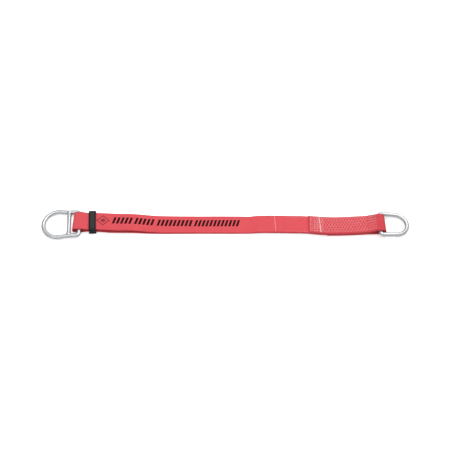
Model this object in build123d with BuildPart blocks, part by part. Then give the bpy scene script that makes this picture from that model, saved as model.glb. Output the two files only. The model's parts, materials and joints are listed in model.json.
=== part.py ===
from build123d import *
import math
import os

os.makedirs("parts", exist_ok=True)

# ---------------------------------------------------------------- dimensions
# Frame: strap lies flat along X, small ring at +X, +Z up, surface at Z = 0.

# webbing
WEB_W = 50.8          # width of the web
PLY = 2.8             # thickness of one ply
SKIN = 0.05           # air between plies that lie on each other
PITCH = PLY + SKIN    # rise from one ply to the next

# flexing lines across the web: centre and half gap of each
FLEX_1 = (-215.0, 3.0)
FLEX_2 = (-112.0, 2.5)
FLEX_3 = (-8.0, 2.5)
FLEX_4 = (98.0, 3.0)

# sideways place of the web, Y of its centre line
Y_LEFT = 4.6          # first segment, towards the far side of the slot
Y_MID = -1.2          # middle of the strap
Y_RIGHT = -4.6        # at the end ring

# choker ring: D bow, cross bar and end bar in one plane
RING_R = 5.55         # radius of the round bar
END_BAR_X = -371.7    # end bar centre
CROSS_U = 26.0        # cross bar, from the end bar
CROSS_R = 5.1         # radius of the cross bar
BOW_R = 38.3          # centre line radius of the bow
APEX_U = 91.1         # centre line of the bow's far point
LEG_V = 34.7          # half width between the legs at the end bar
KNEE_U, KNEE_V = 30.0, 35.4     # where the legs turn outward to the bow
CORNER_R = 7.0        # centre line radius of the slot's corners
RING_Y = 1.5          # sideways place of the end bar's middle
RING_YAW = 1.75       # degrees, bow towards the near side
EYE_PLAY = 0.4        # room between a bar and the web under it

# end ring
END_R = 5.75
BAR2_X = 393.8
BOW2_R = 30.3
APEX2_U = 68.8
LEG2_TAPER = 3.0      # degrees that the legs close towards the bow
CORNER2_R = 6.8
ROLL2 = 2.0           # degrees, near leg up
PITCH2 = 4.6          # degrees, bow down
EYE_PLAY2 = 1.3       # room under the bar, so that it can lean
EYE_ROOM2 = 1.4       # room over the bar

# folds
FOLD1_X = -387.5      # outermost point of the left fold
FOLD2_X = 407.0       # outermost point of the right fold

# keeper
KEEP_X = (-347.0, -328.8)
KEEP_Y = 5.4
KEEP_YAW = 3.3        # degrees, near end towards +X
KEEP_IN_HALF = 27.4   # half of the inner width
KEEP_WALL_Y = 3.4
KEEP_WALL_Z = 2.2
KEEP_IN_TOP = 15.2
KEEP_SPLIT_Z = 8.4

# splice
LAP_START = 68.5      # hidden cut end of the lap ply
COVER_START = 212.3   # cut end of the cover on the front
COVER_BACK = 258.5    # cut end of the cover on the back
LAP_END = 372.0
TACK_1 = 127.2
TACK_2 = 240.6
SEAM_INSET = 3.6
STITCH_ROWS = 6       # rows of zigzag sewing
ROW_GAP = 7.4
ROW_HALF = 2.6


# ---------------------------------------------------------------- side views
def along(points, x):
    """Height of a polyline given as (x, z) points."""
    if x <= points[0][0]:
        return points[0][1]
    for (xa, za), (xb, zb) in zip(points, points[1:]):
        if x <= xb:
            return za + (zb - za) * (x - xa) / (xb - xa)
    return points[-1][1]


# under side of each ply in the first two segments
BACK_Z = [(-366.0, 0.0), (-353.0, 2.6), (-253.0, 2.6), (-235.0, 2.5), (-212.0, 0.9), (-192.0, 0.25), (-172.0, 0.0)]
FRONT_Z = [(-366.0, 14.9), (-353.0, 11.6), (-253.0, 11.6), (-233.0, 9.7), (-212.0, 6.5), (-192.0, 4.6), (-172.0, 3.4), (-150.0, PITCH)]


def strip(xs, z_of, height=PLY, lean=None):
    """Closed side view of a strip whose under side follows z_of."""
    low = [(x, z_of(x)) for x in xs]
    high = [(x, z_of(x) + height) for x in reversed(xs)]
    return low + high


def turn(cx, cz, radius, start, stop, n=10):
    """Points on an arc, angles in degrees."""
    return [
        (cx + radius * math.cos(math.radians(start + (stop - start) * i / n)),
         cz + radius * math.sin(math.radians(start + (stop - start) * i / n)))
        for i in range(n + 1)
    ]


def side_plane(x0, y0, yaw, offset):
    """Upright plane along the strap, moved sideways by offset from its centre line."""
    c, s = math.cos(math.radians(yaw)), math.sin(math.radians(yaw))
    return Plane(
        origin=(x0 - s * offset, y0 + c * offset, 0),
        x_dir=(c, s, 0),
        z_dir=(s, -c, 0),
    )


HALF = WEB_W / 2

# ---------------------------------------------------------------- segment 1
# one web: back ply, fold round the end bar, front ply
seg1_right = FLEX_1[0] - FLEX_1[1]
eye_in_r = (14.9 - PLY) / 2
eye_in_x = FOLD1_X + PLY + eye_in_r
eye_in_z = PLY + eye_in_r
xs1 = [-366.0, -359.0, -353.0, -300.0, -253.0, -243.0, -235.0, -226.0, seg1_right]
left_profile = (
    [(x, along(BACK_Z, x)) for x in reversed(xs1)]
    + turn(eye_in_x, eye_in_z, eye_in_r + PLY, 270, 90)
    + [(x, along(FRONT_Z, x) + PLY) for x in xs1]
    + [(x, along(FRONT_Z, x)) for x in reversed(xs1)]
    + turn(eye_in_x, eye_in_z, eye_in_r, 90, 270)
    + [(x, along(BACK_Z, x) + PLY) for x in xs1]
)
with BuildPart() as web_left_eye:
    with BuildSketch(Plane.XZ.offset(-Y_LEFT)):
        with BuildLine():
            Polyline(*left_profile, close=True)
        make_face()
    extrude(amount=HALF, both=True)

# ---------------------------------------------------------------- segment 2
seg2 = (FLEX_1[0] + FLEX_1[1], FLEX_2[0] - FLEX_2[1])
yaw2 = math.degrees(math.atan2(Y_MID - 3.6, seg2[1] - seg2[0]))
xs2 = [seg2[0], -202.0, -192.0, -182.0, -172.0, -160.0, -150.0, seg2[1]]
with BuildPart() as web_back_2:
    with BuildSketch(side_plane(seg2[0], 3.6, yaw2, 0)):
        with BuildLine():
            Polyline(*[(x - seg2[0], z) for x, z in strip(xs2, lambda x: along(BACK_Z, x))], close=True)
        make_face()
    extrude(amount=HALF, both=True)

with BuildPart() as web_front_2:
    with BuildSketch(side_plane(seg2[0], 3.6, yaw2, 0)):
        with BuildLine():
            Polyline(*[(x - seg2[0], z) for x, z in strip(xs2, lambda x: along(FRONT_Z, x))], close=True)
        make_face()
    extrude(amount=HALF, both=True)

# ---------------------------------------------------------------- segment 3
seg3 = (FLEX_2[0] + FLEX_2[1], FLEX_3[0] - FLEX_3[1])
with BuildPart() as web_back_3:
    with BuildSketch(Plane.XY):
        with Locations(((seg3[0] + seg3[1]) / 2, Y_MID)):
            Rectangle(seg3[1] - seg3[0], WEB_W)
    extrude(amount=PLY)

with BuildPart() as web_front_3:
    with BuildSketch(Plane.XY.offset(PITCH)):
        with Locations(((seg3[0] + seg3[1]) / 2, Y_MID)):
            Rectangle(seg3[1] - seg3[0], WEB_W)
    extrude(amount=PLY)

# ---------------------------------------------------------------- segment 4
seg4 = (FLEX_3[0] + FLEX_3[1], FLEX_4[0] - FLEX_4[1])
RISE_4 = [(61.0, PITCH), (74.0, 2 * PITCH)]
xs4 = [seg4[0], 61.0, 74.0, seg4[1]]
with BuildPart() as web_back_4:
    with BuildSketch(Plane.XY):
        with Locations(((seg4[0] + seg4[1]) / 2, Y_MID)):
            Rectangle(seg4[1] - seg4[0], WEB_W)
    extrude(amount=PLY)

with BuildPart() as web_front_4:
    with BuildSketch(Plane.XZ.offset(-Y_MID)):
        with BuildLine():
            Polyline(*strip(xs4, lambda x: along(RISE_4, x)), close=True)
        make_face()
    extrude(amount=HALF, both=True)

with BuildPart() as web_lap_4:
    with BuildSketch(Plane.XY.offset(PITCH)):
        with Locations(((LAP_START + 6.0 + seg4[1]) / 2, Y_MID)):
            Rectangle(seg4[1] - LAP_START - 6.0, WEB_W - 0.6)
    extrude(amount=PLY)

# ---------------------------------------------------------------- segment 5
# splice and right eye
seg5_left = FLEX_4[0] + FLEX_4[1]
yaw5 = math.degrees(math.atan2(Y_RIGHT - Y_MID, BAR2_X - seg5_left))
STEP = [(200.0, 0.0), (212.0, PITCH)]    # rise onto the cover's lower end

eye2_in_r = (2 * END_R + EYE_PLAY2 + EYE_ROOM2) / 2
eye2_cz = PITCH + PLY + eye2_in_r         # centre of both folds
eye2_cx = FOLD2_X - PITCH - PLY - eye2_in_r
bar2_z = PITCH + PLY + EYE_PLAY2 + END_R

TOP_FRONT = eye2_cz + eye2_in_r           # under side of the inner layer over the bar
CLIMB = [(359.0, 0.0), (388.0, TOP_FRONT - 3 * PITCH)]


def back5(x):
    return along(STEP, x)


def lap5(x):
    return along(STEP, x) + PITCH


def front5(x):
    return along(STEP, x) + 2 * PITCH + along(CLIMB, x)


def cover_top(x):
    return front5(x) + PITCH + PLY


def local(points):
    return [(x - seg5_left, z) for x, z in points]


plane5 = side_plane(seg5_left, Y_MID, yaw5, 0)

xs5 = [seg5_left, 200.0, 212.0, 359.0, 388.0]
right_profile = (
    [(x, back5(x)) for x in xs5]
    + turn(eye2_cx, eye2_cz, eye2_in_r + PLY, -90, 90)
    + [(x, front5(x) + PLY) for x in reversed(xs5)]
    + [(x, front5(x)) for x in xs5]
    + turn(eye2_cx, eye2_cz, eye2_in_r, 90, -90)
    + [(x, back5(x) + PLY) for x in reversed(xs5)]
)
with BuildPart() as web_right_eye:
    with BuildSketch(plane5):
        with BuildLine():
            Polyline(*local(right_profile), close=True)
        make_face()
    extrude(amount=HALF, both=True)

xs_low = [COVER_BACK, 388.0]
xs_high = [COVER_START, 359.0, 388.0]
cover_profile = (
    [(x, 0.0) for x in xs_low]
    + turn(eye2_cx, eye2_cz, eye2_in_r + PITCH + PLY, -90, 90)
    + [(x, front5(x) + PITCH + PLY) for x in reversed(xs_high)]
    + [(x, front5(x) + PITCH) for x in xs_high]
    + turn(eye2_cx, eye2_cz, eye2_in_r + PITCH, 90, -90)
    + [(x, PLY) for x in reversed(xs_low)]
)
with BuildPart() as splice_cover:
    with BuildSketch(plane5):
        with BuildLine():
            Polyline(*local(cover_profile), close=True)
        make_face()
    extrude(amount=HALF - 0.2, both=True)

xs_lap = [seg5_left, 200.0, 212.0, LAP_END]
with BuildPart() as splice_lap:
    with BuildSketch(plane5):
        with BuildLine():
            Polyline(*local(strip(xs_lap, lap5)), close=True)
        make_face()
    extrude(amount=HALF - 0.3, both=True)

# ---------------------------------------------------------------- stitching
row_xs = [216.0, 359.0, 385.0]
row_offsets = [(i - (STITCH_ROWS - 1) / 2) * ROW_GAP for i in range(STITCH_ROWS)]
with BuildPart() as splice_stitch_rows:
    with BuildSketch(*[side_plane(seg5_left, Y_MID, yaw5, v) for v in row_offsets]):
        with BuildLine():
            Polyline(*local(strip(row_xs, lambda x: cover_top(x) + 0.02, 0.6)), close=True)
        make_face()
    extrude(amount=ROW_HALF, both=True)

with BuildPart() as tack_stitch_1:
    with BuildSketch(Plane.XY.offset(front5(TACK_1) + PLY + 0.02)):
        with Locations(Location((TACK_1, Y_MID - 0.3, 0), (0, 0, 4.0))):
            Rectangle(1.6, 44.0)
    extrude(amount=0.6)

tack2_z = cover_top(TACK_2) + 0.65
with BuildPart() as tack_stitch_2:
    with BuildSketch(Plane.XY.offset(tack2_z)):
        with Locations(Location((TACK_2, Y_MID - 1.7, 0), (0, 0, 3.0))):
            Rectangle(1.8, 44.0)
    extrude(amount=0.6)

seam_xs = [130.0, 198.0]
seam_profile = local(strip(seam_xs, lambda x: front5(x) + PLY + 0.02, 0.5))
with BuildPart() as edge_seam_far:
    with BuildSketch(side_plane(seg5_left, Y_MID, yaw5, HALF - SEAM_INSET)):
        with BuildLine():
            Polyline(*seam_profile, close=True)
        make_face()
    extrude(amount=0.5, both=True)

with BuildPart() as edge_seam_near:
    with BuildSketch(side_plane(seg5_left, Y_MID, yaw5, -HALF + SEAM_INSET)):
        with BuildLine():
            Polyline(*seam_profile, close=True)
        make_face()
    extrude(amount=0.5, both=True)

# ---------------------------------------------------------------- choker ring
# round bar; the plane dips from the end bar to the bow, which lies on the surface
bar1_z = PLY + EYE_PLAY + RING_R
dip1 = math.degrees(math.asin((bar1_z - RING_R - 0.02) / APEX_U))
c1, s1 = math.cos(math.radians(dip1)), math.sin(math.radians(dip1))
cy1, sy1 = math.cos(math.radians(RING_YAW)), math.sin(math.radians(RING_YAW))
bar1_mid = (END_BAR_X, RING_Y, bar1_z)
ring_plane = Plane(origin=bar1_mid, x_dir=(-c1 * cy1, -c1 * sy1, -s1), z_dir=(s1 * cy1, s1 * sy1, -c1))

# the leg's outer part touches the bow's circle
bow_u = APEX_U - BOW_R
knee_far = math.hypot(bow_u - KNEE_U, KNEE_V)
turn1 = math.atan2(KNEE_V, bow_u - KNEE_U) + math.acos(BOW_R / knee_far)
touch = (bow_u - BOW_R * math.cos(turn1), BOW_R * math.sin(turn1))
with BuildPart() as choker_ring_frame:
    with BuildLine(ring_plane) as ring_path:
        FilletPolyline((0, 0), (0, LEG_V), (KNEE_U, KNEE_V), touch, radius=CORNER_R)
        ThreePointArc(touch, (APEX_U, 0), (touch[0], -touch[1]))
        FilletPolyline((touch[0], -touch[1]), (KNEE_U, -KNEE_V), (0, -LEG_V), (0, 0), radius=CORNER_R)
    with BuildSketch(Plane(origin=bar1_mid, z_dir=ring_plane.y_dir)):
        Circle(RING_R)
    sweep(path=ring_path.wire())

cross_v = LEG_V + (KNEE_V - LEG_V) * CROSS_U / KNEE_U
with BuildPart() as choker_ring_crossbar:
    with BuildSketch(Plane(origin=ring_plane.from_local_coords((CROSS_U, 0, 0)), z_dir=ring_plane.y_dir)):
        Circle(CROSS_R)
    extrude(amount=cross_v, both=True)
    add(choker_ring_frame.part, mode=Mode.SUBTRACT)

# ---------------------------------------------------------------- end ring
y5, r5, p5 = math.radians(yaw5), math.radians(ROLL2), math.radians(PITCH2)
ahead = Vector(math.cos(y5), math.sin(y5), 0)
across = Vector(-math.sin(y5), math.cos(y5), 0) * math.cos(r5) + Vector(0, 0, -math.sin(r5))
upward = ahead.cross(across)
out2 = ahead * math.cos(p5) - upward * math.sin(p5)
normal2 = out2.cross(across)
bar2_mid = Vector(
    BAR2_X, Y_MID + math.tan(y5) * (BAR2_X - seg5_left), bar2_z
)
end_plane = Plane(origin=bar2_mid, x_dir=out2, z_dir=normal2)

taper = math.radians(LEG2_TAPER)
bow2_u = APEX2_U - BOW2_R
touch2 = (bow2_u + BOW2_R * math.sin(taper), BOW2_R * math.cos(taper))
leg2_v0 = touch2[1] + touch2[0] * math.tan(taper)
with BuildPart() as end_ring:
    with BuildLine(end_plane) as end_path:
        FilletPolyline((0, 0), (0, leg2_v0), touch2, radius=CORNER2_R)
        ThreePointArc(touch2, (APEX2_U, 0), (touch2[0], -touch2[1]))
        FilletPolyline((touch2[0], -touch2[1]), (0, -leg2_v0), (0, 0), radius=CORNER2_R)
    with BuildSketch(Plane(origin=bar2_mid, z_dir=end_plane.y_dir)):
        Circle(END_R)
    sweep(path=end_path.wire())

# ---------------------------------------------------------------- keeper
# moulded loop in two halves round both plies, held by a rivet at each end
keep_cx = (KEEP_X[0] + KEEP_X[1]) / 2
keep_w = KEEP_X[1] - KEEP_X[0]
keep_top = KEEP_IN_TOP + KEEP_WALL_Z
cyk, syk = math.cos(math.radians(KEEP_YAW)), math.sin(math.radians(KEEP_YAW))
keep_plane = Plane(
    origin=(keep_cx - cyk * keep_w / 2, KEEP_Y - syk * keep_w / 2, 0), x_dir=(-syk, cyk, 0), z_dir=(cyk, syk, 0)
)
out_half = KEEP_IN_HALF + KEEP_WALL_Y
with BuildPart() as keeper_shell:
    with BuildSketch(keep_plane):
        with Locations((0, keep_top / 2)):
            RectangleRounded(2 * out_half, keep_top, 3.2)
        with Locations((0, (KEEP_WALL_Z + KEEP_IN_TOP) / 2)):
            RectangleRounded(2 * KEEP_IN_HALF, KEEP_IN_TOP - KEEP_WALL_Z, 0.6, mode=Mode.SUBTRACT)
        with Locations((0, KEEP_SPLIT_Z / 2)):
            Rectangle(2 * out_half + 2, KEEP_SPLIT_Z, mode=Mode.SUBTRACT)
    extrude(amount=keep_w)
    with BuildSketch(Plane.XY.offset(keep_top - 0.05)):
        with Locations(Location((keep_cx, KEEP_Y, 0), (0, 0, KEEP_YAW))):
            RectangleRounded(keep_w - 8.0, 2 * out_half - 9.0, 2.0)
    extrude(amount=0.85)

with BuildPart() as keeper_base:
    with BuildSketch(keep_plane):
        with Locations((0, keep_top / 2)):
            RectangleRounded(2 * out_half, keep_top, 3.2)
        with Locations((0, (KEEP_WALL_Z + KEEP_IN_TOP) / 2)):
            RectangleRounded(2 * KEEP_IN_HALF, KEEP_IN_TOP - KEEP_WALL_Z, 0.6, mode=Mode.SUBTRACT)
        with Locations((0, KEEP_SPLIT_Z - 0.03 + (keep_top + 2) / 2)):
            Rectangle(2 * out_half + 2, keep_top + 2, mode=Mode.SUBTRACT)
    extrude(amount=keep_w)

rivet_y = out_half - 9.5
with BuildPart() as keeper_rivets:
    with BuildSketch(Plane.XY.offset(keep_top + 0.82)):
        with Locations(
            (keep_cx + syk * rivet_y, KEEP_Y - cyk * rivet_y), (keep_cx - syk * rivet_y, KEEP_Y + cyk * rivet_y)
        ):
            Circle(3.1)
    extrude(amount=0.6)

# ---------------------------------------------------------------- output
web_left_eye.part.label = "web_left_eye"
web_back_2.part.label = "web_back_2"
web_front_2.part.label = "web_front_2"
web_back_3.part.label = "web_back_3"
web_front_3.part.label = "web_front_3"
web_back_4.part.label = "web_back_4"
web_front_4.part.label = "web_front_4"
web_lap_4.part.label = "web_lap_4"
web_right_eye.part.label = "web_right_eye"
splice_cover.part.label = "splice_cover"
splice_lap.part.label = "splice_lap"
splice_stitch_rows.part.label = "splice_stitch_rows"
tack_stitch_1.part.label = "tack_stitch_1"
tack_stitch_2.part.label = "tack_stitch_2"
edge_seam_far.part.label = "edge_seam_far"
edge_seam_near.part.label = "edge_seam_near"
choker_ring_frame.part.label = "choker_ring_frame"
choker_ring_crossbar.part.label = "choker_ring_crossbar"
end_ring.part.label = "end_ring"
keeper_shell.part.label = "keeper_shell"
keeper_base.part.label = "keeper_base"
keeper_rivets.part.label = "keeper_rivets"

pieces = [
    web_left_eye, web_back_2, web_front_2, web_back_3, web_front_3,
    web_back_4, web_front_4, web_lap_4, web_right_eye, splice_cover,
    splice_lap, splice_stitch_rows, tack_stitch_1, tack_stitch_2,
    edge_seam_far, edge_seam_near, choker_ring_frame, choker_ring_crossbar,
    end_ring, keeper_shell, keeper_base, keeper_rivets,
]
for piece in pieces:
    export_step(piece.part, "parts/" + piece.part.label + ".step")

low, high = [1e9] * 3, [-1e9] * 3
for piece in pieces:
    box = piece.part.bounding_box()
    low = [min(a, b) for a, b in zip(low, (box.min.X, box.min.Y, box.min.Z))]
    high = [max(a, b) for a, b in zip(high, (box.max.X, box.max.Y, box.max.Z))]
print("box", [round(v, 3) for v in low], [round(v, 3) for v in high])
print("bar1", END_BAR_X, bar1_z, "dip", dip1)
print("bar2", bar2_mid, "axis", across)
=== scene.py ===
import json
import math
import random

import bpy
import numpy as np
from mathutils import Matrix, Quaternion, Vector


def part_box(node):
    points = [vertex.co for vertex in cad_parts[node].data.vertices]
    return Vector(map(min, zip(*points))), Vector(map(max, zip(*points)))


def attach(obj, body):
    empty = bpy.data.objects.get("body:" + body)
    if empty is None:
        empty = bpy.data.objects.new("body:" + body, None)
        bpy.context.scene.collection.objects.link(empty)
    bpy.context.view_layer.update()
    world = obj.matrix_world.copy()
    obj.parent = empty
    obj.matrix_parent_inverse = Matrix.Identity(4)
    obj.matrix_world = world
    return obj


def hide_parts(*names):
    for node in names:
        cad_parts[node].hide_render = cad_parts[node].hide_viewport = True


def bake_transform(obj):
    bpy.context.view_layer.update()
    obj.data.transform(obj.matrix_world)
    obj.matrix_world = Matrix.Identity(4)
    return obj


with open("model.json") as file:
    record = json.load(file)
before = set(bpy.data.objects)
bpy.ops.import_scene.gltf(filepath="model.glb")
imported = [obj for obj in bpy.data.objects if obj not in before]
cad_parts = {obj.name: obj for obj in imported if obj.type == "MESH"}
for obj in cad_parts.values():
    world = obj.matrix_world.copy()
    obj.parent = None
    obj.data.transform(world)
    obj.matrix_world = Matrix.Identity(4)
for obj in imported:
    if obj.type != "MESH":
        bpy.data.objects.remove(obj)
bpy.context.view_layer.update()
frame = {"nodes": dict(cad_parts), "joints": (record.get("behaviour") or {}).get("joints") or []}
scene = bpy.context.scene
NODES = frame["nodes"]
MM = 0.001

# ------------------------------------------------------------------ sizes, mm
W = 50.8
T = 2.8
PITCH = T + 0.05


def mm_box(node):
    lo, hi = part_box(node)
    return np.array(lo) / MM, np.array(hi) / MM


left_lo, left_hi = mm_box("web_left_eye")
right_lo, right_hi = mm_box("web_right_eye")
cover_lo, cover_hi = mm_box("splice_cover")
ring1_lo, ring1_hi = mm_box("choker_ring_frame")
keep_lo, keep_hi = mm_box("keeper_shell")
base_lo, base_hi = mm_box("keeper_base")
FOLD1_X = left_lo[0]
FOLD2_X = cover_hi[0]
FLEX = {j["name"]: [v / MM for v in j["pos_m"]] for j in frame["joints"] if j["type"] == "hinge"}
MID_2 = (FLEX["flex_1"][0] + FLEX["flex_2"][0]) / 2
MID_3 = (FLEX["flex_2"][0] + FLEX["flex_3"][0]) / 2
MID_4 = (FLEX["flex_3"][0] + FLEX["flex_4"][0]) / 2
COVER_START, COVER_BACK = cover_lo[0], 258.5
LAP_START, LAP_END = 70.0, 372.0
SEG5 = 101.0


def along(points, x):
    xs, zs = zip(*points)
    return np.interp(x, xs, zs)


BACK_Z = [(-366.0, 0.0), (-353.0, 2.6), (-253.0, 2.6), (-235.0, 2.5), (-212.0, 0.9), (-192.0, 0.25), (-172.0, 0.0)]
FRONT_Z = [(-366.0, 14.9), (-353.0, 11.6), (-253.0, 11.6), (-233.0, 9.7), (-212.0, 6.5), (-192.0, 4.6), (-172.0, 3.4), (-150.0, PITCH)]
STEP = [(205.0, 0.0), (232.0, PITCH)]
EYE2_R = (2 * 5.75 + 1.3 + 1.4) / 2
EYE2_CZ = PITCH + T + EYE2_R
EYE2_CX = FOLD2_X - PITCH - T - EYE2_R
TOP_FRONT = EYE2_CZ + EYE2_R
CLIMB = [(359.0, 0.0), (388.0, TOP_FRONT - 3 * PITCH)]
EYE1_R = (14.9 - T) / 2
EYE1_CX = FOLD1_X + T + EYE1_R
EYE1_CZ = T + EYE1_R

Y_TOP = [(-388, 4.8), (-371, 5.5), (-355, 5.8), (-320, 5.3), (-294, 3.8), (-269, 2.3), (-243, 2.8),
         (-218, 3.2), (-192, 1.9), (-166, 0.9), (-115, 0.0), (-64, -0.6), (-13, -0.5), (38, -1.0), (63, -1.8),
         (76, -1.9), (89, -1.0), (114, -0.7), (165, -1.3), (206, -1.9), (216, -4.0), (229, -6.1), (242, -7.5),
         (255, -8.5), (268, -9.0), (280, -9.1), (293, -8.9), (306, -8.2), (319, -7.6), (331, -6.8),
         (344, -6.0), (357, -5.4), (370, -5.3), (385, -4.9), (408, -4.7)]
Y_LOW = [(-388, 4.8), (-371, 5.0), (-355, 5.6), (-320, 4.8), (-294, 1.8), (-269, 1.4), (-243, 1.3),
         (-218, 1.0), (-192, 0.1), (-166, -0.3), (-115, -0.2), (-64, -0.1), (-13, -0.3), (38, -0.6),
         (63, -0.1), (76, 0.6), (89, 1.5), (114, 1.4), (165, 0.3), (206, -0.3), (216, -2.2), (229, -5.1),
         (242, -6.4), (255, -7.4), (268, -7.5), (293, -7.6), (319, -7.1), (344, -6.0), (370, -4.5), (408, -4.7)]
DRIFT = [0.0, 0.5, 1.2]


def smooth_curve(points, x, blur=14.0):
    """Piecewise line through points, averaged over a window, so that it has no corners."""
    x = np.asarray(x, float)
    total = np.zeros_like(x)
    shifts = np.linspace(-1, 1, 9)
    weights = (1 - shifts ** 2) + 0.05
    for s, w in zip(shifts, weights):
        total += w * along(points, x + s * blur)
    return total / weights.sum()


def back_z(x):
    return smooth_curve(BACK_Z, x, 7) + smooth_curve(STEP, x, 7)


def front_z(x):
    x = np.asarray(x, float)
    return smooth_curve(FRONT_Z, x, 7)


def arc(cx, cz, r, start, stop, n=26):
    a = np.radians(np.linspace(start, stop, n))
    return np.stack([cx + r * np.cos(a), cz + r * np.sin(a)], 1)


def line_of(x0, x1, height, step=2.0):
    n = max(3, int(abs(x1 - x0) / step) + 1)
    x = np.linspace(x0, x1, n)
    return np.stack([x, height(x)], 1)


# ------------------------------------------------------------------ materials
def new_material(name):
    m = bpy.data.materials.new(name)
    m.use_nodes = True
    m.node_tree.nodes.clear()
    out = m.node_tree.nodes.new("ShaderNodeOutputMaterial")
    shader = m.node_tree.nodes.new("ShaderNodeBsdfPrincipled")
    m.node_tree.links.new(shader.outputs[0], out.inputs[0])
    return m, m.node_tree, shader


class Maker:
    """Short calls for building a node tree."""

    def __init__(self, tree):
        self.tree = tree

    def node(self, kind, **values):
        n = self.tree.nodes.new(kind)
        for k, v in values.items():
            setattr(n, k, v)
        return n

    def put(self, socket, value):
        if isinstance(value, bpy.types.NodeSocket):
            self.tree.links.new(value, socket)
        else:
            socket.default_value = value

    def math(self, op, a, b=None, c=None, clamp=False):
        n = self.node("ShaderNodeMath", operation=op, use_clamp=clamp)
        self.put(n.inputs[0], a)
        if b is not None:
            self.put(n.inputs[1], b)
        if c is not None:
            self.put(n.inputs[2], c)
        return n.outputs[0]

    def mix(self, factor, a, b, blend="MIX"):
        n = self.node("ShaderNodeMix", data_type="RGBA", blend_type=blend)
        self.put(n.inputs[0], factor)
        self.put(n.inputs[6], a)
        self.put(n.inputs[7], b)
        return n.outputs[2]

    def step(self, value, edge, soft):
        """0 below edge and 1 above it, over a width of soft."""
        n = self.node("ShaderNodeMapRange", interpolation_type="SMOOTHSTEP")
        self.put(n.inputs[0], value)
        n.inputs[1].default_value = edge - soft / 2
        n.inputs[2].default_value = edge + soft / 2
        n.inputs[3].default_value = 0
        n.inputs[4].default_value = 1
        return n.outputs[0]

    def band(self, value, low, high, soft):
        return self.math("MULTIPLY", self.step(value, low, soft),
                         self.math("SUBTRACT", 1.0, self.step(value, high, soft)))

    def noise(self, vector, scale, detail=2.0, rough=0.5):
        n = self.node("ShaderNodeTexNoise")
        self.put(n.inputs["Vector"], vector)
        n.inputs["Scale"].default_value = scale
        n.inputs["Detail"].default_value = detail
        n.inputs["Roughness"].default_value = rough
        return n.outputs["Fac"]

    def vec(self, x, y, z=0.0):
        n = self.node("ShaderNodeCombineXYZ")
        for i, v in enumerate((x, y, z)):
            self.put(n.inputs[i], v)
        return n.outputs[0]


RED = (0.63, 0.046, 0.062, 1)
# RED_LOW is the dark red of the painted shade in the weave's hollows, over the splice cover and round its fold, and of
# the darker woven edges
RED_LOW = (0.36, 0.008, 0.014, 1)
RED_HIGH = (0.69, 0.072, 0.090, 1)
PRINT_GROUPS = [(-287.0, -239.5, 5), (-231.0, -184.0, 5), (-173.5, -86.5, 9), (-78.5, 34.0, 12)]


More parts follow.
